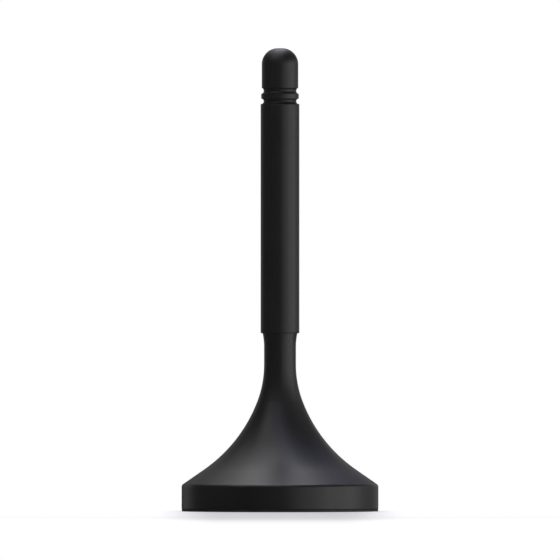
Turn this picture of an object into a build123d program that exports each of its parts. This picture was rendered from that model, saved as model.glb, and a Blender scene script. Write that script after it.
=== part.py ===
"""Magnet-mount cellular antenna, the whip that works with a signal booster.

A trumpet-shaped plastic base holds a ring magnet in a steel cup and a small matching board. A slim
plastic mast stands on the base's neck and screws off it. Its brass foot carries a loading coil and a
straight rod. Millimetres. +Z is up, the origin is the middle of the foot pad's underside, and the cable
outlet faces +Y.
"""

from build123d import *
from math import asin, cos, degrees, radians, sin, tan
import os

# ---------------------------------------------------------------- driving dimensions
HEIGHT = 101.6  # floor to the tip of the mast
BASE_R = 21.6  # skirt of the base
SKIRT_TOP_Z = 5.75
CONE_SLOPE = 34.7  # degrees from the horizontal, where the flare meets the skirt
NECK_R = 3.5  # waist of the neck
NECK_TOP_Z = 39.05  # the mast's sleeve stands here
SLEEVE_R = 4.25
CAP_R = 4.0
WALL = 1.8  # moulded wall of the base

# ---------------------------------------------------------------- the base's outline
PAD_LIP = 0.55  # part of the foot pad that shows under the skirt
UPPER_R, UPPER_TURN = 22.7, 20.8  # upper arc of the flare, and how many degrees it turns
LOWER_R = 32.1  # lower arc of the flare, which ends at the cone's slope
COLLAR_LOW_Z, COLLAR_R = 36.1, 14.1  # the neck opens again, in an arc, towards the mast
SKIRT_TOP_ROUND, SKIRT_FOOT_ROUND = 0.8, 0.1

LOWER_TURN = 90 - UPPER_TURN - CONE_SLOPE
CONE_RUN = tan(radians(CONE_SLOPE))
KNEE_R = NECK_R + UPPER_R * (1 - cos(radians(UPPER_TURN)))  # where the two arcs meet
ARC_CENTRE_R = KNEE_R + LOWER_R * cos(radians(UPPER_TURN))
CONE_TOP_R = ARC_CENTRE_R - LOWER_R * sin(radians(CONE_SLOPE))
CONE_TOP_Z = SKIRT_TOP_Z + (BASE_R - CONE_TOP_R) * CONE_RUN
ARC_CENTRE_Z = CONE_TOP_Z + LOWER_R * cos(radians(CONE_SLOPE))
FLARE_TOP_Z = ARC_CENTRE_Z - (LOWER_R - UPPER_R) * sin(radians(UPPER_TURN))

# ---------------------------------------------------------------- inside the base
CAVITY_R = 19.6  # straight bore that takes the steel cup
LEDGE_Z = 5.45  # the seal is squeezed against this ledge
CEILING_Z = 20.0  # flat seat for the feed bush's nut
NECK_BORE_R = 2.2
PAD_R, PAD_TOP_Z, PAD_ROUND = 21.55, 0.9, 0.1
GRIP_GROOVES, GRIP_WIDTH, GRIP_DEPTH = (15.0, 17.5, 20.0), 0.6, 0.2
PLATE_LOW_Z, PLATE_TOP_Z = 4.0, 5.1  # closing plate of the steel cup
CUP_R, CUP_INNER_R = 19.4, 18.4
MAGNET_R, MAGNET_HOLE_R, MAGNET_CHAMFER = 17.6, 12.0, 0.25
BOARD_R, BOARD_LOW_Z, BOARD_TOP_Z = 10.7, 9.6, 10.8

# ---------------------------------------------------------------- three screws
SCREWS, SCREW_CIRCLE_R, SCREW_ANGLE = 3, 8.0, 30.0
SCREW_R, SCREW_ROOT_R, SCREW_PITCH = 1.0, 0.78, 0.7
SCREW_TIP_Z, SCREW_POINT = 14.6, 0.5
PILOT_TOP_Z = 14.9
HEAD_R, HEAD_HIGH, HEAD_BEVEL = 1.9, 1.3, 0.4
RECESS_LENGTH, RECESS_WIDTH, RECESS_DEEP = 1.9, 0.42, 0.7
CLEARANCE_HOLE_R = 1.15
POST_R = 2.3
STANDOFF_APOTHEM = 1.85

# ---------------------------------------------------------------- cable outlet, on the +Y side
OUTLET_Z = 7.9
OUTLET_FACE_Y = 22.4
HUMP_R, HUMP_ROOT_Y = 3.3, 10.0
HUMP_RIM_ROUND, HUMP_ROOT_ROUND = 0.35, 0.8
OUTLET_BORE_R = 2.0
LIP_SEAT_Y, LIP_THICK, LIP_R = 17.8, 0.8, 2.4  # the grommet's inner lip
BEAD_THICK, BEAD_R = 0.8, 2.6  # and its outer bead
CABLE_HOLE_R = 1.45  # for a 2.8 mm coaxial cable
SADDLE_Y, SADDLE_LENGTH, SADDLE_R, SADDLE_SHEET = 6.2, 2.6, 1.85, 0.3

# ---------------------------------------------------------------- the mast's screw joint
STUD_R, STUD_ROOT_R, STUD_PITCH = 1.5, 1.2, 0.5  # M3
STUD_TIP_Z = 33.4
BUSH_TOP_Z, BUSH_TAIL_Z = 38.5, 15.6
BUSH_BORE_R, BUSH_BEVEL = 1.56, 0.25
BUSH_FLANGE_R, BUSH_SEAT_Z = 2.7, 37.8
TAIL_THREAD_R, TAIL_ROOT_R, TAIL_PITCH = 2.0, 1.75, 0.55
NUT_APOTHEM, NUT_HIGH, NUT_CORNER_R, NUT_BEVEL = 3.0, 2.2, 3.6, 0.35
TAG_THICK, TAG_R, TAG_BEND_X = 0.4, 3.4, 4.4
WASHER_THICK, WASHER_R = 0.6, 3.3
FERRULE_LOW_Z, FERRULE_TOP_Z = 39.5, 42.8
SEAL_RING_R, SEAL_RING_THICK = 2.2, 0.9

# ---------------------------------------------------------------- the mast
MAST_BORE_R = 3.3
JOINT_Z = 89.95  # sleeve and cap meet here, in the middle of the lower groove
RING_R, RING_TOP_Z = 4.13, 91.9
LOWER_GROOVE = (4.2, JOINT_Z, 0.61)  # centre radius, height, groove radius
UPPER_GROOVE = (4.27, 92.25, 0.69)
SLEEVE_FOOT_ROUND, SLEEVE_TOP_ROUND = 0.25, 0.1
DOME_R = 3.5
CAP_PLUG_Z, CAP_PLUG_R, CAP_HOLLOW_R = 84.8, 2.9, 2.0
COIL_WIRE_R, COIL_R, COIL_PITCH, COIL_TURNS = 0.4, 2.05, 2.45, 15
COIL_LOW_Z = 43.7
ROD_R, ROD_LOW_Z, ROD_TOP_Z = 0.45, 43.0, 73.0
SPIGOT_R, SPIGOT_TOP_Z = 1.6, 47.0
INSULATOR_R, INSULATOR_TOP_Z = 1.15, 72.0
SPACER_LOW_Z, SPACER_HIGH = 61.0, 4.0
CUSHION_HIGH, CUSHION_BEVEL = 3.0, 0.4

# ---------------------------------------------------------------- matching parts
FEED_WIRE_R = 0.3
FEED_ROUTE = [(3.9, 0, 16.8), (5.3, 0, 16.8), (5.3, 1.0, 14.4), (4.3, 2.2, 12.6), (4.3, 2.2, BOARD_TOP_Z)]
MATCH_WIRE_R, MATCH_COIL_R, MATCH_PITCH, MATCH_LENGTH = 0.22, 1.25, 0.75, 3.0
MATCH_COIL_AT = (-5.5, -2.2, BOARD_TOP_Z + MATCH_COIL_R + MATCH_WIRE_R)
CHIP_SPOTS = [(-2.6, 2.9), (-0.4, 4.4), (2.2, 4.6), (-1.2, -4.6)]
CHIP_LENGTH, CHIP_WIDTH, CHIP_HIGH = 1.6, 0.8, 0.6

OUTLET = Plane(origin=(0, 0, OUTLET_Z), x_dir=(-1, 0, 0), z_dir=(0, 1, 0))


def thread_outline(crest_r, root_r, low_z, high_z, pitch):
    """Points of a thread's section, from low_z up to high_z, one V for each pitch."""
    points = []
    for turn in range(int((high_z - low_z) / pitch)):
        z = low_z + turn * pitch
        points += [(root_r, z), (crest_r, z + 0.4 * pitch), (crest_r, z + 0.6 * pitch)]
    return [*points, (root_r, high_z)]


def bend_radii(points):
    """The largest arc for each corner: 0.45 of the shorter run over the tangent of half the turn."""
    radii = []
    for before, here, after in zip(points, points[1:], points[2:]):
        run_in, run_out = Vector(here) - Vector(before), Vector(after) - Vector(here)
        half_turn = radians(run_in.get_angle(run_out)) / 2
        radii.append(0.45 * min(run_in.length, run_out.length) / tan(half_turn))
    return radii


def rims(part, radius):
    """A turned part's round edges of one radius, lowest first."""
    circles = part.edges().filter_by(GeomType.CIRCLE)
    return circles.filter_by(lambda edge: abs(edge.radius - radius) < 0.01).sort_by(Axis.Z)


# ================================================================ base
# The space inside the shell: a straight bore for the cup, then a cavity that follows the flare, less
# three posts. Its wall keeps one thickness from the flare's lower arc and from the cone.
inner_arc_r = LOWER_R + WALL
ceiling_angle = degrees(asin((ARC_CENTRE_Z - CEILING_Z) / inner_arc_r))
ledge_r = BASE_R - WALL / sin(radians(CONE_SLOPE)) - (LEDGE_Z - SKIRT_TOP_Z) / CONE_RUN

with BuildPart() as cavity:
    with BuildSketch(Plane.XZ):
        with BuildLine():
            wall_turn = 90 - CONE_SLOPE - ceiling_angle
            wall_arc = CenterArc((ARC_CENTRE_R, ARC_CENTRE_Z), inner_arc_r, 180 + ceiling_angle, wall_turn)
            Polyline(
                wall_arc @ 1, (ledge_r, LEDGE_Z), (CAVITY_R, LEDGE_Z), (CAVITY_R, PAD_LIP),
                (0, PAD_LIP), (0, CEILING_Z), wall_arc @ 0,
            )
        make_face()
    revolve(axis=Axis.Z)
    with BuildSketch(Plane.XY.offset(BOARD_TOP_Z)):
        with PolarLocations(SCREW_CIRCLE_R, SCREWS, start_angle=SCREW_ANGLE):
            Circle(POST_R)
    extrude(amount=CEILING_Z - BOARD_TOP_Z, mode=Mode.SUBTRACT)

with BuildPart() as base_shell:
    with BuildSketch(Plane.XZ):
        with BuildLine():
            upper_arc = JernArc((NECK_R, FLARE_TOP_Z), (0, -1), UPPER_R, UPPER_TURN)
            lower_arc = JernArc(upper_arc @ 1, upper_arc % 1, LOWER_R, LOWER_TURN)
            Polyline(
                lower_arc @ 1, (BASE_R, SKIRT_TOP_Z), (BASE_R, PAD_LIP), (0, PAD_LIP), (0, NECK_TOP_Z),
            )
            collar_turn = degrees(asin((NECK_TOP_Z - COLLAR_LOW_Z) / COLLAR_R))
            Line(upper_arc @ 0, (NECK_R, COLLAR_LOW_Z))
            collar_arc = JernArc((NECK_R, COLLAR_LOW_Z), (0, 1), COLLAR_R, -collar_turn)
            Line(collar_arc @ 1, (0, NECK_TOP_Z))
        make_face()
    revolve(axis=Axis.Z)
    fillet(rims(base_shell, BASE_R)[-1], SKIRT_TOP_ROUND)
    fillet(rims(base_shell, BASE_R)[0], SKIRT_FOOT_ROUND)
    # the hump that the cable leaves through
    with BuildSketch(OUTLET.offset(HUMP_ROOT_Y)):
        Circle(HUMP_R)
    extrude(amount=OUTLET_FACE_Y - HUMP_ROOT_Y)
    fillet(base_shell.edges().filter_by(GeomType.CIRCLE).sort_by(Axis.Y)[-1], HUMP_RIM_ROUND)
    plain_edges = (GeomType.CIRCLE, GeomType.LINE)
    hump_root = base_shell.edges().filter_by(lambda edge: edge.geom_type not in plain_edges)
    fillet(hump_root, HUMP_ROOT_ROUND)
    add(cavity.part, mode=Mode.SUBTRACT)
    # the outlet's bore, and a flat seat inside for the grommet's lip
    with BuildSketch(OUTLET.offset(HUMP_ROOT_Y + 2)):
        Circle(OUTLET_BORE_R)
    extrude(amount=OUTLET_FACE_Y - HUMP_ROOT_Y - 2, mode=Mode.SUBTRACT)
    with BuildSketch(OUTLET.offset(HUMP_ROOT_Y + 2)):
        Circle(LIP_R + 0.1)
    extrude(amount=LIP_SEAT_Y - HUMP_ROOT_Y - 2, mode=Mode.SUBTRACT)
    # the neck's bore, with a seat for the feed bush's flange
    with BuildSketch(Plane.XY.offset(CEILING_Z - 1)):
        Circle(NECK_BORE_R)
    extrude(amount=NECK_TOP_Z - CEILING_Z + 1, mode=Mode.SUBTRACT)
    with BuildSketch(Plane.XY.offset(BUSH_SEAT_Z)):
        Circle(BUSH_FLANGE_R + 0.05)
    extrude(amount=NECK_TOP_Z - BUSH_SEAT_Z, mode=Mode.SUBTRACT)
    # pilot holes up the posts
    with BuildSketch(Plane.XY.offset(BOARD_TOP_Z)):
        with PolarLocations(SCREW_CIRCLE_R, SCREWS, start_angle=SCREW_ANGLE):
            Circle(SCREW_R)
    extrude(amount=PILOT_TOP_Z - BOARD_TOP_Z, mode=Mode.SUBTRACT)

with BuildPart() as foot_pad:
    with BuildSketch(Plane.XZ):
        Polygon(
            (0, 0), (PAD_R, 0), (PAD_R, PAD_LIP), (CUP_R, PAD_LIP), (CUP_R, PAD_TOP_Z), (0, PAD_TOP_Z),
            align=None,
        )
    revolve(axis=Axis.Z)
    fillet(rims(foot_pad, PAD_R), PAD_ROUND)
    with BuildSketch(Plane.XY):
        for groove_r in GRIP_GROOVES:
            Circle(groove_r + GRIP_WIDTH / 2)
            Circle(groove_r - GRIP_WIDTH / 2, mode=Mode.SUBTRACT)
    extrude(amount=GRIP_DEPTH, mode=Mode.SUBTRACT)

with BuildPart() as steel_cup:
    with BuildSketch(Plane.XY.offset(PAD_TOP_Z)):
        Circle(CUP_R)
    extrude(amount=PLATE_TOP_Z - PAD_TOP_Z)
    with BuildSketch(Plane.XY.offset(PAD_TOP_Z)):
        Circle(CUP_INNER_R)
    extrude(amount=PLATE_LOW_Z - PAD_TOP_Z, mode=Mode.SUBTRACT)
    with BuildSketch(Plane.XY.offset(PLATE_LOW_Z)):
        with PolarLocations(SCREW_CIRCLE_R, SCREWS, start_angle=SCREW_ANGLE):
            Circle(CLEARANCE_HOLE_R)
    extrude(amount=PLATE_TOP_Z - PLATE_LOW_Z, mode=Mode.SUBTRACT)

with BuildPart() as magnet_ring:
    with BuildSketch(Plane.XY.offset(PAD_TOP_Z)):
        Circle(MAGNET_R)
        Circle(MAGNET_HOLE_R, mode=Mode.SUBTRACT)
    extrude(amount=PLATE_LOW_Z - PAD_TOP_Z)
    chamfer(magnet_ring.edges().filter_by(GeomType.CIRCLE), MAGNET_CHAMFER)

# A nylon ring in the gap round the magnet, a little lower than the magnet at both ends.
with BuildPart() as magnet_centring_ring:
    with BuildSketch(Plane.XY.offset(PAD_TOP_Z + 0.4)):
        Circle(CUP_INNER_R)
        Circle(MAGNET_R, mode=Mode.SUBTRACT)
    extrude(amount=PLATE_LOW_Z - PAD_TOP_Z - 0.8)

with BuildPart() as base_seal:
    with BuildSketch(Plane.XY.offset(PLATE_TOP_Z)):
        Circle(CUP_R)
        Circle(ledge_r + 0.05, mode=Mode.SUBTRACT)
    extrude(amount=LEDGE_Z - PLATE_TOP_Z)

with BuildPart() as standoffs:
    with BuildSketch(Plane.XY.offset(PLATE_TOP_Z)):
        with PolarLocations(SCREW_CIRCLE_R, SCREWS, start_angle=SCREW_ANGLE):
            RegularPolygon(STANDOFF_APOTHEM, 6, major_radius=False)
            Circle(CLEARANCE_HOLE_R, mode=Mode.SUBTRACT)
    extrude(amount=BOARD_LOW_Z - PLATE_TOP_Z)

# One thread-forming screw on the axis, then a copy at each post.
head_low_z = PLATE_LOW_Z - HEAD_HIGH
thread_low_z = BOARD_TOP_Z - 2 * SCREW_PITCH
with BuildPart() as one_screw:
    with BuildSketch(Plane.XZ):
        Polygon(
            (0, head_low_z), (HEAD_R - HEAD_BEVEL, head_low_z), (HEAD_R, head_low_z + HEAD_BEVEL),
            (HEAD_R, PLATE_LOW_Z), (SCREW_ROOT_R, PLATE_LOW_Z), (SCREW_ROOT_R, thread_low_z),
            *thread_outline(SCREW_R, SCREW_ROOT_R, thread_low_z, SCREW_TIP_Z - SCREW_POINT, SCREW_PITCH),
            (SCREW_ROOT_R - SCREW_POINT, SCREW_TIP_Z), (0, SCREW_TIP_Z), align=None,
        )
    revolve(axis=Axis.Z)
    with BuildSketch(Plane.XY.offset(head_low_z)):
        Rectangle(RECESS_LENGTH, RECESS_WIDTH)
        Rectangle(RECESS_WIDTH, RECESS_LENGTH)
    extrude(amount=RECESS_DEEP, mode=Mode.SUBTRACT)

with BuildPart() as retaining_screws:
    with PolarLocations(SCREW_CIRCLE_R, SCREWS, start_angle=SCREW_ANGLE):
        add(one_screw.part)

# ================================================================ cable outlet
with BuildPart() as cable_grommet:
    with BuildSketch(Plane.YZ):
        with Locations((0, OUTLET_Z)):
            Polygon(
                (LIP_SEAT_Y - LIP_THICK, CABLE_HOLE_R), (LIP_SEAT_Y - LIP_THICK, LIP_R - 0.2),
                (LIP_SEAT_Y - LIP_THICK / 2, LIP_R), (LIP_SEAT_Y, LIP_R), (LIP_SEAT_Y, OUTLET_BORE_R),
                (OUTLET_FACE_Y, OUTLET_BORE_R), (OUTLET_FACE_Y, BEAD_R), (OUTLET_FACE_Y + BEAD_THICK, BEAD_R),
                (OUTLET_FACE_Y + BEAD_THICK, CABLE_HOLE_R), align=None,
            )
    revolve(axis=Axis((0, 0, OUTLET_Z), (0, 1, 0)))
    bead_edges = cable_grommet.edges().filter_by(GeomType.CIRCLE).group_by(Axis.Y)[-1]
    fillet(bead_edges.sort_by(SortBy.RADIUS)[-1], BEAD_THICK / 2)

# ================================================================ feed and matching board
with BuildPart() as feed_bush:
    with BuildSketch(Plane.XZ):
        Polygon(
            (0, BUSH_TAIL_Z), *thread_outline(TAIL_THREAD_R, TAIL_ROOT_R, BUSH_TAIL_Z, CEILING_Z, TAIL_PITCH),
            (NECK_BORE_R - 0.05, CEILING_Z), (NECK_BORE_R - 0.05, BUSH_SEAT_Z), (BUSH_FLANGE_R, BUSH_SEAT_Z),
            (BUSH_FLANGE_R, BUSH_TOP_Z), (BUSH_BORE_R + BUSH_BEVEL, BUSH_TOP_Z),
            (BUSH_BORE_R, BUSH_TOP_Z - BUSH_BEVEL), (BUSH_BORE_R, STUD_TIP_Z - 0.9), (0, STUD_TIP_Z - 1.8),
            align=None,
        )
    revolve(axis=Axis.Z)

# The washer, the tag and the nut hang from the ceiling, in that order.
tag_top_z = CEILING_Z - WASHER_THICK
nut_top_z = tag_top_z - TAG_THICK
nut_low_z = nut_top_z - NUT_HIGH
with BuildPart() as bush_nut:
    with BuildSketch(Plane.XY.offset(nut_low_z)):
        RegularPolygon(NUT_APOTHEM, 6, major_radius=False)
        Circle(TAIL_THREAD_R, mode=Mode.SUBTRACT)
    extrude(amount=NUT_HIGH)
    with BuildSketch(Plane.XZ):
        Polygon(
            (0, nut_low_z), (NUT_APOTHEM, nut_low_z), (NUT_CORNER_R, nut_low_z + NUT_BEVEL),
            (NUT_CORNER_R, nut_top_z - NUT_BEVEL), (NUT_APOTHEM, nut_top_z), (0, nut_top_z), align=None,
        )
    revolve(axis=Axis.Z, mode=Mode.INTERSECT)

with BuildPart() as solder_tag:
    with BuildSketch(Plane.XY.offset(nut_top_z)):
        Circle(TAG_R)
        with Locations((TAG_R - 0.2, 0)):
            Rectangle(2 * (TAG_BEND_X - TAG_R + 0.2), 1.8)
        Circle(TAIL_THREAD_R + 0.02, mode=Mode.SUBTRACT)
    extrude(amount=TAG_THICK)
    with BuildSketch(Plane.YZ.offset(TAG_BEND_X - TAG_THICK)):
        with Locations((0, tag_top_z - 1.6)):
            Rectangle(1.8, 3.2)
        with Locations((0, tag_top_z - 2.6)):
            Circle(FEED_WIRE_R + 0.02, mode=Mode.SUBTRACT)
    extrude(amount=TAG_THICK)

with BuildPart() as lock_washer:
    with BuildSketch(Plane.XY.offset(tag_top_z)):
        Circle(WASHER_R)
        Circle(TAIL_THREAD_R + 0.1, mode=Mode.SUBTRACT)
        with Locations((-WASHER_R + 0.6, 0)):
            Rectangle(2.0, 0.35, rotation=20, mode=Mode.SUBTRACT)
    extrude(amount=WASHER_THICK)

with BuildPart() as feed_wire:
    with BuildLine() as feed_path:
        FilletPolyline(*FEED_ROUTE, radius=bend_radii(FEED_ROUTE))
    with BuildSketch(Plane(origin=feed_path.line @ 0, z_dir=feed_path.line % 0)):
        Circle(FEED_WIRE_R)
    sweep()

with BuildPart() as matching_board:
    with BuildSketch(Plane.XY.offset(BOARD_LOW_Z)):
        Circle(BOARD_R)
        with PolarLocations(SCREW_CIRCLE_R, SCREWS, start_angle=SCREW_ANGLE):
            Circle(CLEARANCE_HOLE_R, mode=Mode.SUBTRACT)
    extrude(amount=BOARD_TOP_Z - BOARD_LOW_Z)

with BuildPart() as matching_coil:
    with BuildLine() as match_path:
        Helix(MATCH_PITCH, MATCH_LENGTH, MATCH_COIL_R, center=MATCH_COIL_AT, direction=(0, 1, 0))
    with BuildSketch(Plane(origin=match_path.line @ 0, z_dir=match_path.line % 0)):
        Circle(MATCH_WIRE_R)
    sweep(is_frenet=True)

with BuildPart() as chip_capacitors:
    with BuildSketch(Plane.XY.offset(BOARD_TOP_Z)):
        with Locations(*CHIP_SPOTS):
            Rectangle(CHIP_LENGTH, CHIP_WIDTH)
    extrude(amount=CHIP_HIGH)

# A sheet cradle for the cable, open at the top, on two legs that stand on the board's edge.
with BuildPart() as braid_saddle:
    with BuildSketch(OUTLET.offset(SADDLE_Y)):
        Circle(SADDLE_R)
        Circle(SADDLE_R - SADDLE_SHEET, mode=Mode.SUBTRACT)
        with Locations((0, SADDLE_R / 2)):
            Rectangle(3 * SADDLE_R, SADDLE_R, mode=Mode.SUBTRACT)
        for side in (-1, 1):
            with Locations((side * (SADDLE_R - SADDLE_SHEET / 2), (BOARD_LOW_Z - OUTLET_Z) / 2)):
                Rectangle(SADDLE_SHEET, BOARD_LOW_Z - OUTLET_Z)
    extrude(amount=SADDLE_LENGTH)

# ================================================================ mast
with BuildPart() as mast_seal:
    with BuildSketch(Plane.XZ):
        with Locations((SEAL_RING_R, (BUSH_TOP_Z + FERRULE_LOW_Z) / 2)):
            Circle(SEAL_RING_THICK / 2)
    revolve(axis=Axis.Z)

with BuildPart() as mast_ferrule:
    with BuildSketch(Plane.XZ):
        Polygon(
            (0, STUD_TIP_Z), (STUD_ROOT_R - 0.2, STUD_TIP_Z),
            *thread_outline(STUD_R, STUD_ROOT_R, STUD_TIP_Z + 0.3, BUSH_TOP_Z + 0.2, STUD_PITCH),
            (STUD_ROOT_R, FERRULE_LOW_Z), (MAST_BORE_R, FERRULE_LOW_Z), (MAST_BORE_R, FERRULE_TOP_Z),
            (SPIGOT_R, FERRULE_TOP_Z), (SPIGOT_R, SPIGOT_TOP_Z - 0.3), (SPIGOT_R - 0.3, SPIGOT_TOP_Z),
            (ROD_R, SPIGOT_TOP_Z), (ROD_R, ROD_LOW_Z), (0, ROD_LOW_Z), align=None,
        )
    revolve(axis=Axis.Z)

with BuildPart() as mast_sleeve:
    groove_low_z = JOINT_Z - LOWER_GROOVE[2]
    with BuildSketch(Plane.XZ):
        Polygon(
            (MAST_BORE_R, NECK_TOP_Z), (SLEEVE_R, NECK_TOP_Z), (SLEEVE_R, groove_low_z),
            (RING_R, groove_low_z), (RING_R, JOINT_Z), (CAP_PLUG_R, JOINT_Z),
            (CAP_PLUG_R, CAP_PLUG_Z), (MAST_BORE_R, CAP_PLUG_Z), align=None,
        )
    revolve(axis=Axis.Z)
    with BuildSketch(Plane.XZ):
        with Locations(LOWER_GROOVE[:2]):
            Circle(LOWER_GROOVE[2])
    revolve(axis=Axis.Z, mode=Mode.SUBTRACT)
    fillet(rims(mast_sleeve, SLEEVE_R)[-1], SLEEVE_TOP_ROUND)
    fillet(rims(mast_sleeve, SLEEVE_R)[0], SLEEVE_FOOT_ROUND)

with BuildPart() as tip_cap:
    with BuildSketch(Plane.XZ):
        with BuildLine():
            dome = CenterArc((CAP_R - DOME_R, HEIGHT - DOME_R), DOME_R, 0, 90)
            Polyline(
                dome @ 1, (0, HEIGHT), (0, HEIGHT - 2.2), (CAP_HOLLOW_R, HEIGHT - 3.6),
                (CAP_HOLLOW_R, CAP_PLUG_Z), (CAP_PLUG_R, CAP_PLUG_Z), (CAP_PLUG_R, JOINT_Z),
                (RING_R, JOINT_Z), (RING_R, RING_TOP_Z), (CAP_R, RING_TOP_Z), dome @ 0,
            )
        make_face()
    revolve(axis=Axis.Z)
    with BuildSketch(Plane.XZ):
        for groove_r, groove_z, cutter_r in (LOWER_GROOVE, UPPER_GROOVE):
            with Locations((groove_r, groove_z)):
                Circle(cutter_r)
    revolve(axis=Axis.Z, mode=Mode.SUBTRACT)

with BuildPart() as loading_coil:
    with BuildLine() as coil_path:
        Helix(pitch=COIL_PITCH, height=COIL_PITCH * COIL_TURNS, radius=COIL_R, center=(0, 0, COIL_LOW_Z))
    with BuildSketch(Plane(origin=coil_path.line @ 0, z_dir=coil_path.line % 0)):
        Circle(COIL_WIRE_R)
    sweep(is_frenet=True)

with BuildPart() as upper_band_rod:
    with BuildSketch(Plane.XY.offset(ROD_LOW_Z)):
        Circle(ROD_R)
    extrude(amount=ROD_TOP_Z - ROD_LOW_Z)
    fillet(upper_band_rod.edges().group_by(Axis.Z)[-1], ROD_R / 2)

with BuildPart() as rod_insulator:
    with BuildSketch(Plane.XY.offset(SPIGOT_TOP_Z)):
        Circle(INSULATOR_R)
        Circle(ROD_R, mode=Mode.SUBTRACT)
    extrude(amount=INSULATOR_TOP_Z - SPIGOT_TOP_Z)

with BuildPart() as coil_spacer:
    with BuildSketch(Plane.XY.offset(SPACER_LOW_Z)):
        Circle(MAST_BORE_R)
        Circle(COIL_R + COIL_WIRE_R + 0.05, mode=Mode.SUBTRACT)
    extrude(amount=SPACER_HIGH)

with BuildPart() as tip_cushion:
    with BuildSketch(Plane.XY.offset(CAP_PLUG_Z - CUSHION_HIGH)):
        Circle(MAST_BORE_R)
    extrude(amount=CUSHION_HIGH)
    chamfer(tip_cushion.edges().group_by(Axis.Z)[0], CUSHION_BEVEL)

# ================================================================ written out
SUB_PARTS = {
    "base_shell": base_shell,
    "foot_pad": foot_pad,
    "steel_cup": steel_cup,
    "magnet_ring": magnet_ring,
    "magnet_centring_ring": magnet_centring_ring,
    "base_seal": base_seal,
    "standoffs": standoffs,
    "retaining_screws": retaining_screws,
    "cable_grommet": cable_grommet,
    "feed_bush": feed_bush,
    "bush_nut": bush_nut,
    "solder_tag": solder_tag,
    "lock_washer": lock_washer,
    "feed_wire": feed_wire,
    "matching_board": matching_board,
    "matching_coil": matching_coil,
    "chip_capacitors": chip_capacitors,
    "braid_saddle": braid_saddle,
    "mast_seal": mast_seal,
    "mast_ferrule": mast_ferrule,
    "mast_sleeve": mast_sleeve,
    "tip_cap": tip_cap,
    "loading_coil": loading_coil,
    "upper_band_rod": upper_band_rod,
    "rod_insulator": rod_insulator,
    "coil_spacer": coil_spacer,
    "tip_cushion": tip_cushion,
}
os.makedirs("parts", exist_ok=True)
for node_name, sub_part in SUB_PARTS.items():
    sub_part.part.label = node_name
    export_step(sub_part.part, f"parts/{node_name}.step")
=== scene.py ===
from math import cos, pi, radians, sin

import bmesh
import bpy
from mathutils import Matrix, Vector


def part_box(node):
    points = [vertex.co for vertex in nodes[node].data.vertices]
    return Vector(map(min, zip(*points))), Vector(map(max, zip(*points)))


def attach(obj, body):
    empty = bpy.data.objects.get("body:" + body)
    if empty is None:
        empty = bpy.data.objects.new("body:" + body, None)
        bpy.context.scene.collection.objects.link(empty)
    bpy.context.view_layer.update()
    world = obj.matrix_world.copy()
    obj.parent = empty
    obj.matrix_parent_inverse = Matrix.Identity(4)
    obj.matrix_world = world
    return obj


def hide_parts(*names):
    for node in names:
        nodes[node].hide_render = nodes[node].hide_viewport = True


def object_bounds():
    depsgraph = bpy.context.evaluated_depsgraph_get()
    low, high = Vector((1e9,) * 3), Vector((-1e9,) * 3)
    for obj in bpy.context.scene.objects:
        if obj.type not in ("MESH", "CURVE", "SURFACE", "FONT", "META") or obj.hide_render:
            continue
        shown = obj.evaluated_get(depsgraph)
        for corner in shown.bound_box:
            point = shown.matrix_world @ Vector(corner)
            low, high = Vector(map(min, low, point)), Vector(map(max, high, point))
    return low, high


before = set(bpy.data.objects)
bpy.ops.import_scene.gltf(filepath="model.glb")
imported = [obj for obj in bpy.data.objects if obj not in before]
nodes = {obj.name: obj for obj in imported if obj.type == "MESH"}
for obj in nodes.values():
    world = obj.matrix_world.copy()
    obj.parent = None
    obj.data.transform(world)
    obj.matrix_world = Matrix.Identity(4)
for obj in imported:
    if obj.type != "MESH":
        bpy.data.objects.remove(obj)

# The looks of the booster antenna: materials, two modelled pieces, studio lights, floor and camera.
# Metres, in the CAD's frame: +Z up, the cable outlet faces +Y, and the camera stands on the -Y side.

MM = 0.001
cad_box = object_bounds()
TOP_Z = cad_box[1].z
NECK_TOP_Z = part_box("base_shell")[1].z
SKIRT_TOP_Z = 5.75 * MM  # as in the CAD
COPPER_RING_R = 9.6 * MM  # on the circuit board, near its edge

scene = bpy.context.scene
scene.view_settings.view_transform = "Standard"


# ---------------------------------------------------------------- material helpers
WAVE_PERIOD = 0.314  # metres between the lines of a wave texture whose scale is 1


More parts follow.
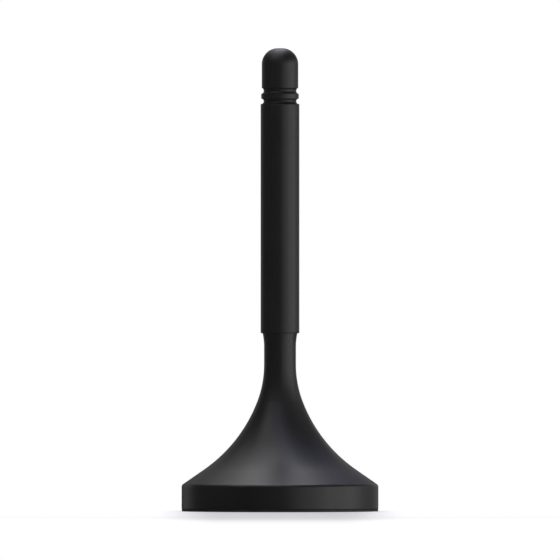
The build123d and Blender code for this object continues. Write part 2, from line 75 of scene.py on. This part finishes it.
class Recipe:
    """A node material being built: a Principled shader, and short ways to add the nodes that feed it."""

    def __init__(self, name, **sockets):
        self.material = bpy.data.materials.new(name)
        self.material.use_nodes = True
        self.tree = self.material.node_tree
        self.shader = self.tree.nodes["Principled BSDF"]
        for socket, value in sockets.items():
            self.shader.inputs[socket.replace("_", " ")].default_value = value
        self.object_space = self.tree.nodes.new("ShaderNodeTexCoord").outputs["Object"]

    def link(self, source, target):
        self.tree.links.new(source, target)
        return source

    def noise(self, size, detail=3.0, stretch=(1, 1, 1), seed=0.0):
        """Noise in blobs about size metres across, drawn out along an axis where stretch is below 1."""
        mapping = self.tree.nodes.new("ShaderNodeMapping")
        mapping.inputs["Scale"].default_value = stretch
        mapping.inputs["Location"].default_value = (seed, seed * 0.7, seed * 0.3)
        texture = self.tree.nodes.new("ShaderNodeTexNoise")
        texture.inputs["Scale"].default_value = 1 / size
        texture.inputs["Detail"].default_value = detail
        self.link(self.object_space, mapping.inputs["Vector"])
        self.link(mapping.outputs["Vector"], texture.inputs["Vector"])
        return texture.outputs["Fac"]

    def cells(self, size, feature="F1"):
        """Voronoi cells about size metres across: the distance to a cell's middle, or to its edge."""
        texture = self.tree.nodes.new("ShaderNodeTexVoronoi")
        texture.feature = feature
        texture.inputs["Scale"].default_value = 1 / size
        self.link(self.object_space, texture.inputs["Vector"])
        return texture.outputs["Distance"]

    def bands(self, size):
        """Fine lines square to Z, size metres apart, as a lathe tool leaves."""
        texture = self.tree.nodes.new("ShaderNodeTexWave")
        texture.bands_direction = "Z"
        texture.inputs["Scale"].default_value = WAVE_PERIOD / size
        texture.inputs["Distortion"].default_value = 0.6
        texture.inputs["Detail"].default_value = 2
        self.link(self.object_space, texture.inputs["Vector"])
        return texture.outputs["Fac"]

    def axis(self, letter):
        split = self.tree.nodes.new("ShaderNodeSeparateXYZ")
        self.link(self.object_space, split.inputs["Vector"])
        return split.outputs[letter]

    def math(self, operation, first, second=0.0):
        node = self.tree.nodes.new("ShaderNodeMath")
        node.operation = operation
        for value, socket in ((first, node.inputs[0]), (second, node.inputs[1])):
            if isinstance(value, (int, float)):
                socket.default_value = value
            else:
                self.link(value, socket)
        return node.outputs[0]

    def radius(self):
        """Distance from the mast's axis."""
        x, y = self.axis("X"), self.axis("Y")
        squares = self.math("MULTIPLY", x, x), self.math("MULTIPLY", y, y)
        return self.math("SQRT", self.math("ADD", *squares))

    def remap(self, source, low, high, to_low, to_high):
        node = self.tree.nodes.new("ShaderNodeMapRange")
        node.interpolation_type = "SMOOTHSTEP"
        sockets = {"From Min": low, "From Max": high, "To Min": to_low, "To Max": to_high}
        for socket, value in sockets.items():
            node.inputs[socket].default_value = value
        self.link(source, node.inputs["Value"])
        return node.outputs["Result"]

    def blend(self, factor, colour_a, colour_b):
        """One colour where factor is 0, the other where it is 1. Either may be another node's colour."""
        node = self.tree.nodes.new("ShaderNodeMix")
        node.data_type = "RGBA"
        self.link(factor, node.inputs["Factor"])
        for value, socket in ((colour_a, node.inputs[6]), (colour_b, node.inputs[7])):
            if isinstance(value, tuple):
                socket.default_value = (*value, 1)
            else:
                self.link(value, socket)
        return node.outputs[2]

    def colour(self, source):
        self.link(source, self.shader.inputs["Base Color"])

    def roughness(self, source):
        self.link(source, self.shader.inputs["Roughness"])

    def bump(self, height, depth):
        """Relief of depth metres, on top of any relief added before."""
        node = self.tree.nodes.new("ShaderNodeBump")
        node.inputs["Distance"].default_value = depth
        self.link(height, node.inputs["Height"])
        normal = self.shader.inputs["Normal"]
        if normal.links:
            self.link(normal.links[0].from_socket, node.inputs["Normal"])
        self.link(node.outputs["Normal"], normal)


# ---------------------------------------------------------------- plastics and rubber
def black_plastic(name, seed, worn_z):
    """Satin black moulding: spark-eroded grain, faint flow marks, and polish at worn_z, where hands rub."""
    recipe = Recipe(name, IOR=1.46)
    flow = recipe.noise(9 * MM, detail=4, stretch=(1, 1, 0.35), seed=seed)
    grain = recipe.noise(0.11 * MM, detail=2, seed=seed)
    pores = recipe.noise(0.035 * MM, detail=1, seed=seed)
    marks = recipe.remap(flow, 0.35, 0.65, 0, 1)
    recipe.colour(recipe.blend(marks, (0.0105, 0.0105, 0.0110), (0.0135, 0.0134, 0.0138)))
    satin = recipe.remap(flow, 0.3, 0.7, 0.37, 0.42)
    from_edge = recipe.math("ABSOLUTE", recipe.math("SUBTRACT", recipe.axis("Z"), worn_z))
    polish = recipe.remap(from_edge, 0.1 * MM, 0.7 * MM, 0.05, 0)
    recipe.roughness(recipe.math("SUBTRACT", satin, polish))
    recipe.bump(grain, 0.0022 * MM)
    recipe.bump(pores, 0.0008 * MM)
    return recipe.material


def black_rubber(name, seed=0.0):
    """Matt moulded rubber, with a bloom of paler dust in its pores."""
    recipe = Recipe(name, IOR=1.5)
    bloom = recipe.noise(2.5 * MM, detail=5, seed=seed)
    pores = recipe.cells(0.18 * MM)
    dusty = recipe.remap(bloom, 0.4, 0.7, 0, 1)
    recipe.colour(recipe.blend(dusty, (0.012, 0.012, 0.0125), (0.024, 0.023, 0.022)))
    recipe.roughness(recipe.remap(bloom, 0.3, 0.7, 0.62, 0.78))
    recipe.bump(pores, 0.006 * MM)
    recipe.bump(recipe.noise(0.6 * MM, detail=3, seed=seed), 0.01 * MM)
    return recipe.material


def foam(name):
    """Closed-cell foam, cut so that its cells are open."""
    recipe = Recipe(name, Roughness=0.9)
    walls = recipe.remap(recipe.cells(0.3 * MM, "DISTANCE_TO_EDGE"), 0.0, 0.12, 0, 1)
    recipe.colour(recipe.blend(walls, (0.06, 0.06, 0.063), (0.022, 0.022, 0.024)))
    recipe.bump(walls, -0.06 * MM)
    return recipe.material


def pale_polymer(name, dark, light, grain):
    """Natural nylon or PTFE: waxy, with a faint cloud in it."""
    recipe = Recipe(name, IOR=1.45, Subsurface_Weight=0.25, Subsurface_Scale=0.6 * MM)
    cloud = recipe.noise(3 * MM, detail=4)
    recipe.colour(recipe.blend(recipe.remap(cloud, 0.35, 0.65, 0, 1), dark, light))
    recipe.roughness(recipe.remap(cloud, 0.3, 0.7, 0.42, 0.55))
    recipe.bump(recipe.noise(grain, detail=2), 0.004 * MM)
    return recipe.material


# ---------------------------------------------------------------- metals
def turned_metal(name, dark, light, roughness, pitch=0.06 * MM):
    """Bar turned on a lathe: tool lines round it, and a slow change of colour where it has been handled."""
    recipe = Recipe(name, Metallic=1.0)
    tarnish = recipe.noise(2.2 * MM, detail=5)
    lines = recipe.bands(pitch)
    recipe.colour(recipe.blend(recipe.remap(tarnish, 0.35, 0.68, 0, 1), light, dark))
    recipe.roughness(recipe.remap(tarnish, 0.3, 0.75, roughness, roughness + 0.14))
    recipe.bump(lines, 0.0016 * MM)
    return recipe.material


def plated_steel(name, dark, light, roughness, spangle=0.5 * MM):
    """Pressed steel under a thin plate, with a soft spangle and rolling marks along X."""
    recipe = Recipe(name, Metallic=1.0)
    patches = recipe.cells(spangle)
    rolling = recipe.noise(0.2 * MM, detail=3, stretch=(0.06, 1, 1))
    recipe.colour(recipe.blend(recipe.remap(patches, 0.1, 0.8, 0, 1), dark, light))
    recipe.roughness(recipe.remap(rolling, 0.3, 0.7, roughness - 0.05, roughness + 0.08))
    recipe.bump(rolling, 0.0015 * MM)
    return recipe.material


def enamelled_wire(name):
    """Copper wire under clear enamel, darker where the varnish is thick."""
    recipe = Recipe(name, Metallic=1.0, Coat_Weight=1.0, Coat_Roughness=0.08)
    varnish = recipe.noise(0.8 * MM, detail=3)
    thin = recipe.remap(varnish, 0.35, 0.65, 0, 1)
    recipe.colour(recipe.blend(thin, (0.46, 0.15, 0.06), (0.66, 0.27, 0.12)))
    recipe.roughness(recipe.remap(varnish, 0.3, 0.7, 0.24, 0.36))
    recipe.bump(recipe.noise(0.3 * MM, detail=2), 0.002 * MM)
    return recipe.material


def circuit_board(name):
    """Green solder mask over a copper ring, tracks and a stitching of small via holes."""
    recipe = Recipe(name, Coat_Weight=0.6, Coat_Roughness=0.12)
    from_ring = recipe.math("ABSOLUTE", recipe.math("SUBTRACT", recipe.radius(), COPPER_RING_R))
    ring = recipe.remap(from_ring, 0.35 * MM, 0.42 * MM, 1, 0)
    wander = recipe.noise(4.5 * MM, detail=1)
    tracks = recipe.remap(recipe.math("PINGPONG", wander, 0.05), 0.018, 0.022, 0, 1)
    copper = recipe.math("MAXIMUM", ring, tracks)
    vias = recipe.remap(recipe.cells(1.3 * MM), 0.14, 0.17, 1, 0)
    mask = recipe.blend(copper, (0.010, 0.075, 0.030), (0.022, 0.145, 0.055))
    recipe.colour(recipe.blend(vias, mask, (0.55, 0.5, 0.4)))
    recipe.roughness(recipe.remap(recipe.noise(1.5 * MM), 0.3, 0.7, 0.32, 0.44))
    recipe.bump(copper, 0.035 * MM)
    return recipe.material


def chip_body(name):
    """Fired ceramic, faintly speckled."""
    recipe = Recipe(name)
    speck = recipe.noise(0.1 * MM, detail=4)
    flecks = recipe.remap(speck, 0.35, 0.65, 0, 1)
    recipe.colour(recipe.blend(flecks, (0.30, 0.20, 0.13), (0.42, 0.31, 0.22)))
    recipe.roughness(recipe.remap(speck, 0.3, 0.7, 0.45, 0.6))
    recipe.bump(speck, 0.004 * MM)
    return recipe.material


SHELL_PLASTIC = black_plastic("satin_black_shell", 0.13, SKIRT_TOP_Z)
MAST_PLASTIC = black_plastic("satin_black_mast", 0.41, NECK_TOP_Z)
RUBBER = black_rubber("matt_rubber")
SEAL_RUBBER = black_rubber("seal_rubber", 0.2)
FOAM = foam("black_foam")
NYLON = pale_polymer("natural_nylon", (0.60, 0.57, 0.48), (0.70, 0.67, 0.59), 0.15 * MM)
PTFE = pale_polymer("white_ptfe", (0.76, 0.76, 0.73), (0.84, 0.84, 0.82), 0.08 * MM)
BRASS = turned_metal("turned_brass", (0.52, 0.34, 0.12), (0.80, 0.58, 0.26), 0.2)
TIN = turned_metal("tinned_brass", (0.55, 0.54, 0.50), (0.76, 0.75, 0.71), 0.28, 0.4 * MM)
ZINC = plated_steel("zinc_plated_steel", (0.48, 0.50, 0.53), (0.68, 0.69, 0.70), 0.34)
NICKEL = plated_steel("nickel_plated_magnet", (0.56, 0.53, 0.47), (0.70, 0.67, 0.61), 0.22, 1.5 * MM)
BLACK_ZINC = plated_steel("black_zinc_screw", (0.035, 0.035, 0.037), (0.06, 0.06, 0.063), 0.36)
COPPER_WIRE = enamelled_wire("enamelled_copper")
BOARD = circuit_board("green_board")
CERAMIC = chip_body("chip_ceramic")

FINISH = {
    "base_shell": SHELL_PLASTIC,
    "mast_sleeve": MAST_PLASTIC,
    "tip_cap": MAST_PLASTIC,
    "foot_pad": RUBBER,
    "cable_grommet": RUBBER,
    "base_seal": SEAL_RUBBER,
    "mast_seal": SEAL_RUBBER,
    "coil_spacer": FOAM,
    "tip_cushion": FOAM,
    "magnet_centring_ring": NYLON,
    "rod_insulator": PTFE,
    "standoffs": BRASS,
    "feed_bush": BRASS,
    "bush_nut": BRASS,
    "mast_ferrule": BRASS,
    "upper_band_rod": BRASS,
    "solder_tag": TIN,
    "braid_saddle": TIN,
    "steel_cup": ZINC,
    "lock_washer": ZINC,
    "magnet_ring": NICKEL,
    "retaining_screws": BLACK_ZINC,
    "feed_wire": COPPER_WIRE,
    "matching_coil": COPPER_WIRE,
    "loading_coil": COPPER_WIRE,
    "matching_board": BOARD,
    "chip_capacitors": CERAMIC,
}
for name, material in FINISH.items():
    nodes[name].data.materials.clear()
    nodes[name].data.materials.append(material)


# ---------------------------------------------------------------- modelled pieces
CREASE = radians(35)  # edges that turn more than this stay sharp


def smooth_object(name, shape, material):
    """An object with smooth shading, made from a finished bmesh and linked into the scene."""
    mesh = bpy.data.meshes.new(name)
    shape.to_mesh(mesh)
    shape.free()
    for polygon in mesh.polygons:
        polygon.use_smooth = True
    mesh.materials.append(material)
    made = bpy.data.objects.new(name, mesh)
    scene.collection.objects.link(made)
    return made


# ---------------------------------------------------------------- the mast's foot, with its real thread
STUD_R, STUD_ROOT_R, STUD_PITCH = 1.5 * MM, 1.2 * MM, 0.5 * MM  # M3
STUD_TIP_Z, SPIGOT_TOP_Z = (corner.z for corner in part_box("mast_ferrule"))
TIP_CHAMFER = 0.2 * MM
THREAD_LOW_Z, THREAD_TOP_Z = STUD_TIP_Z + TIP_CHAMFER, STUD_TIP_Z + 5.4 * MM
# In depths of thread: how high the flanks would meet above the root, and how much they fall in one pitch.
FLANK_PEAK, FLANK_FALL = 1.45, 3.2
STEPS_PER_PITCH = 14
FLANGE_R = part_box("mast_ferrule")[1].x
FLANGE_LOW_Z, FLANGE_TOP_Z = STUD_TIP_Z + 6.1 * MM, STUD_TIP_Z + 9.4 * MM  # as in the CAD
BEVEL = 0.15 * MM
RIM_RINGS, PLAIN_BEVELS = 4, 2  # rings a bevel apart at each rim, and how many bevels of it stay plain
KNURLS, KNURL_DEEP = 40, 0.06 * MM
SPIGOT_R = 1.6 * MM
ROD_HOLE_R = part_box("upper_band_rod")[1].x
ROD_HOLE_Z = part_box("upper_band_rod")[0].z
AROUND = 160  # corners in each ring


def thread_radius(angle, z):
    """One right-hand M3 thread, which runs out smoothly at both ends."""
    turn = (z / STUD_PITCH - angle / (2 * pi)) % 1
    flank = min(max(FLANK_PEAK - FLANK_FALL * abs(turn - 0.5), 0), 1)
    run_out = min((z - THREAD_LOW_Z) / STUD_PITCH, (THREAD_TOP_Z - z) / STUD_PITCH, 1)
    return STUD_ROOT_R + (STUD_R - STUD_ROOT_R) * flank * max(run_out, 0)


def knurl_radius(angle, z):
    """The flange that the sleeve is pressed onto: fine straight knurls between two plain bevelled rims."""
    from_rim = min(z - FLANGE_LOW_Z, FLANGE_TOP_Z - z)
    groove = max(0, cos(KNURLS * angle)) * min(max(from_rim / BEVEL - PLAIN_BEVELS, 0), 1)
    return FLANGE_R - max(BEVEL - from_rim, 0) - KNURL_DEEP * groove


def plain(radius):
    """A radius that is the same all round."""
    return lambda angle, z: radius


def ferrule_rings():
    """The ferrule's rings from the stud's tip up, each a height and the function that gives its radius."""
    rings = [(STUD_TIP_Z, plain(0)), (STUD_TIP_Z, plain(STUD_ROOT_R - TIP_CHAMFER))]
    thread_high = THREAD_TOP_Z - THREAD_LOW_Z
    thread_steps = int(thread_high / STUD_PITCH * STEPS_PER_PITCH)
    for step in range(thread_steps + 1):
        rings.append((THREAD_LOW_Z + thread_high * step / thread_steps, thread_radius))
    rings.append((FLANGE_LOW_Z, plain(STUD_ROOT_R)))
    for step in range(RIM_RINGS):
        rings.append((FLANGE_LOW_Z + step * BEVEL, knurl_radius))
    for step in reversed(range(RIM_RINGS)):
        rings.append((FLANGE_TOP_Z - step * BEVEL, knurl_radius))
    for z, radius in (
        (FLANGE_TOP_Z, SPIGOT_R), (SPIGOT_TOP_Z - BEVEL, SPIGOT_R), (SPIGOT_TOP_Z, SPIGOT_R - BEVEL),
        (SPIGOT_TOP_Z, ROD_HOLE_R), (ROD_HOLE_Z, ROD_HOLE_R), (ROD_HOLE_Z, 0),
    ):
        rings.append((z, plain(radius)))
    return rings


def threaded_ferrule():
    """A lathe mesh whose radius may change round the turn."""
    shape = bmesh.new()
    angles = [2 * pi * step / AROUND for step in range(AROUND)]
    loops = []
    for z, radius_at in ferrule_rings():
        if radius_at(0, z) == 0:
            loops.append([shape.verts.new((0, 0, z))] * AROUND)
        else:
            loops.append([
                shape.verts.new((radius_at(a, z) * cos(a), radius_at(a, z) * sin(a), z)) for a in angles
            ])
    for below, above in zip(loops, loops[1:]):
        for here in range(AROUND):
            following = (here + 1) % AROUND
            corners = [below[here], below[following], above[following], above[here]]
            # A ring of no radius is one point, so a face beside it has three corners.
            shape.faces.new(list(dict.fromkeys(corners)))
    piece = smooth_object("threaded_ferrule", shape, BRASS)
    piece.data.set_sharp_from_angle(angle=CREASE)
    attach(piece, "mast")
    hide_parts("mast_ferrule")


threaded_ferrule()


# ---------------------------------------------------------------- the chips' tinned ends
# Millimetres. The spots and the chip's size are the CAD's.
CHIP_SPOTS = [(-2.6, 2.9), (-0.4, 4.4), (2.2, 4.6), (-1.2, -4.6)]
CHIP_SIZE = (1.6, 0.8, 0.6)
BOARD_TOP_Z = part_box("chip_capacitors")[0].z / MM
CHIP_END, TIN_THICK, TIN_ROUND = 0.34, 0.02, 0.05


def chip_ends():
    """A softly rounded tin cap round both ends of each chip."""
    length, width, high = CHIP_SIZE
    size = ((CHIP_END + TIN_THICK) * MM, (width + 2 * TIN_THICK) * MM, (high + TIN_THICK) * MM)
    shape = bmesh.new()
    for x, y in CHIP_SPOTS:
        for side in (-1, 1):
            cap = bmesh.ops.create_cube(shape, size=1)["verts"]
            bmesh.ops.scale(shape, vec=size, verts=cap)
            across = x + side * (length - CHIP_END + TIN_THICK) / 2
            bmesh.ops.translate(
                shape, vec=(across * MM, y * MM, (BOARD_TOP_Z + (high + TIN_THICK) / 2) * MM), verts=cap
            )
    bmesh.ops.bevel(
        shape, geom=shape.edges[:], offset=TIN_ROUND * MM, segments=3, affect="EDGES", profile=0.5
    )
    piece = smooth_object("chip_ends", shape, TIN)
    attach(piece, "base")


chip_ends()


# ---------------------------------------------------------------- light panels
PANEL_SIZE, PANEL_DISTANCE = 0.42, 0.9
AIM = Vector((0, 0, TOP_Z * 0.45))


def softbox(name, azimuth, elevation, level, tint=(1, 1, 1)):
    """A square light aimed at the object. Azimuth 0 is the camera's side, and 90 is its right."""
    a, e = radians(azimuth), radians(elevation)
    out = Vector((sin(a) * cos(e), -cos(a) * cos(e), sin(e)))
    light = bpy.data.lights.new(name, "AREA")
    light.shape = "SQUARE"
    light.size = PANEL_SIZE
    light.energy = level * pi * PANEL_SIZE * PANEL_SIZE
    light.color = tint
    lamp = bpy.data.objects.new(name, light)
    lamp.location = AIM + out * PANEL_DISTANCE
    lamp.rotation_mode = "QUATERNION"
    lamp.rotation_quaternion = out.to_track_quat("Z", "Y")
    lamp.visible_camera = False
    scene.collection.objects.link(lamp)


COOL = (0.55, 0.56, 1)
FAINTLY_COOL = (0.88, 0.87, 1)
WALL = 1.5
OVERHEAD = 1.35
RIM = 0.3

# The key is a wall of light on the right. It reaches below the floor, and fades towards both its ends.
for elevation in (8, -18):
    softbox(f"wall_front_{elevation}", 30, elevation, WALL / 2)
    softbox(f"wall_middle_{elevation}", 60, elevation, WALL)
    softbox(f"wall_rear_{elevation}", 90, elevation, WALL)
softbox("wall_end", 120, 8, WALL / 4)

# Panels lean over the object, the strongest from behind, for the bright band round the flare.
softbox("left_panel", -60, 52, OVERHEAD)
softbox("rear_panel", 180, 52, OVERHEAD * 2)
softbox("rear_left_panel", -140, 52, OVERHEAD / 2)
softbox("rear_right_panel", 150, 42, OVERHEAD / 4, COOL)
softbox("front_panel", -10, 52, OVERHEAD / 2)

# Nearer the zenith the light is neutral on the left and cool on the right, which tints the flare's right.
softbox("top_left", -120, 72, OVERHEAD)
softbox("top_right", 120, 72, OVERHEAD * 0.55, COOL)
softbox("top_rear", 180, 72, OVERHEAD, FAINTLY_COOL)
softbox("top_front", 0, 72, OVERHEAD * 0.6, COOL)
softbox("zenith", 0, 90, OVERHEAD)

# Weak lights low behind the object brighten its edges: the mast's and the skirt's first, then the flare's.
softbox("right_rim", 155, 4, RIM)
softbox("left_rim", -140, 4, RIM)
softbox("left_flare_rim", -165, 22, RIM * 0.6)
softbox("right_flare_rim", 165, 22, RIM / 2)


# ---------------------------------------------------------------- surroundings
WHITE = (1, 1, 1, 1)
FILL_GREY = (0.055, 0.055, 0.05, 1)


def white_world():
    """White where the camera sees past the floor, and a dim grey light on everything else."""
    world = bpy.data.worlds.new("studio")
    scene.world = world
    world.use_nodes = True
    tree = world.node_tree
    tree.nodes.clear()
    seen = tree.nodes.new("ShaderNodeBackground")
    unseen = tree.nodes.new("ShaderNodeBackground")
    pick = tree.nodes.new("ShaderNodeMixShader")
    path = tree.nodes.new("ShaderNodeLightPath")
    out = tree.nodes.new("ShaderNodeOutputWorld")
    seen.inputs["Color"].default_value = WHITE
    unseen.inputs["Color"].default_value = FILL_GREY
    tree.links.new(path.outputs["Is Camera Ray"], pick.inputs[0])
    tree.links.new(unseen.outputs[0], pick.inputs[1])
    tree.links.new(seen.outputs[0], pick.inputs[2])
    tree.links.new(pick.outputs[0], out.inputs["Surface"])


FLOOR_DROP = 0.02 * MM  # clear of the pad, so that the two never share a plane
SOLID_R, FADED_R, FLOOR_R = 0.4, 0.95, 1
DARKER_FLOOR, PALER_FLOOR, SHADED_FLOOR = (0.88, 0.88, 0.88), (0.90, 0.90, 0.90), (0.52, 0.52, 0.52)
SHADE_CORE, SHADE_SIDE = 12 * MM, 30 * MM  # full as far as the first to each side, and none past the second
SHADE_FRONT, SHADE_BACK = 0.43, 0.05
LIT_R, GLOWING_R = 0.08, 0.3
LIT_GLOW, FAR_GLOW = 0.47, 1.05
SHADE_GLOW = 0.6  # share of the glow that is left in the shade


def pale_floor():
    """A round pale floor that thins out towards its rim, so that it has no edge against the white."""
    shape = bmesh.new()
    bmesh.ops.create_circle(shape, cap_ends=True, segments=96, radius=FLOOR_R)
    recipe = Recipe("pale_floor", Roughness=0.9, Specular_IOR_Level=0.0)
    recipe.shader.inputs["Emission Color"].default_value = WHITE
    # A painted shade, like the soft one that a strong light behind the object casts towards the camera.
    beside = recipe.remap(recipe.math("ABSOLUTE", recipe.axis("X")), SHADE_CORE, SHADE_SIDE, 1, 0)
    before = recipe.remap(recipe.axis("Y"), -SHADE_FRONT, 0, 0, 1)
    behind = recipe.remap(recipe.axis("Y"), 0, SHADE_BACK, 1, 0)
    shade = recipe.math("MULTIPLY", recipe.math("MULTIPLY", beside, before), behind)
    clouds = recipe.blend(recipe.noise(30 * MM, detail=3), DARKER_FLOOR, PALER_FLOOR)
    far = recipe.remap(recipe.radius(), LIT_R, GLOWING_R, 0, 1)
    recipe.colour(recipe.blend(far, recipe.blend(shade, clouds, SHADED_FLOOR), (0, 0, 0)))
    # Far out the floor glows white by itself, because the lights don't reach there.
    glow = recipe.remap(far, 0, 1, LIT_GLOW, FAR_GLOW)
    dimming = recipe.remap(shade, 0, 1, 1, SHADE_GLOW)
    recipe.link(recipe.math("MULTIPLY", glow, dimming), recipe.shader.inputs["Emission Strength"])
    fade = recipe.remap(recipe.radius(), SOLID_R, FADED_R, 1, 0)
    recipe.link(fade, recipe.shader.inputs["Alpha"])
    floor = smooth_object("floor", shape, recipe.material)
    floor.location.z = -FLOOR_DROP
    floor.visible_glossy = False
    floor.visible_shadow = False


white_world()
pale_floor()

# ---------------------------------------------------------------- camera
VIEW_WIDTH = 0.12287  # what the frame spans at the mast
VIEW_DISTANCE = 5.4
VIEW_HEIGHT = 0.05074
CLIP_END = 20
camera = bpy.data.cameras.new("camera")
camera.lens = camera.sensor_width * VIEW_DISTANCE / VIEW_WIDTH
camera.clip_end = CLIP_END
eye = bpy.data.objects.new("camera", camera)
eye.location = (0, -VIEW_DISTANCE, VIEW_HEIGHT)
eye.rotation_euler = (radians(90), 0, 0)
scene.collection.objects.link(eye)
scene.camera = eye
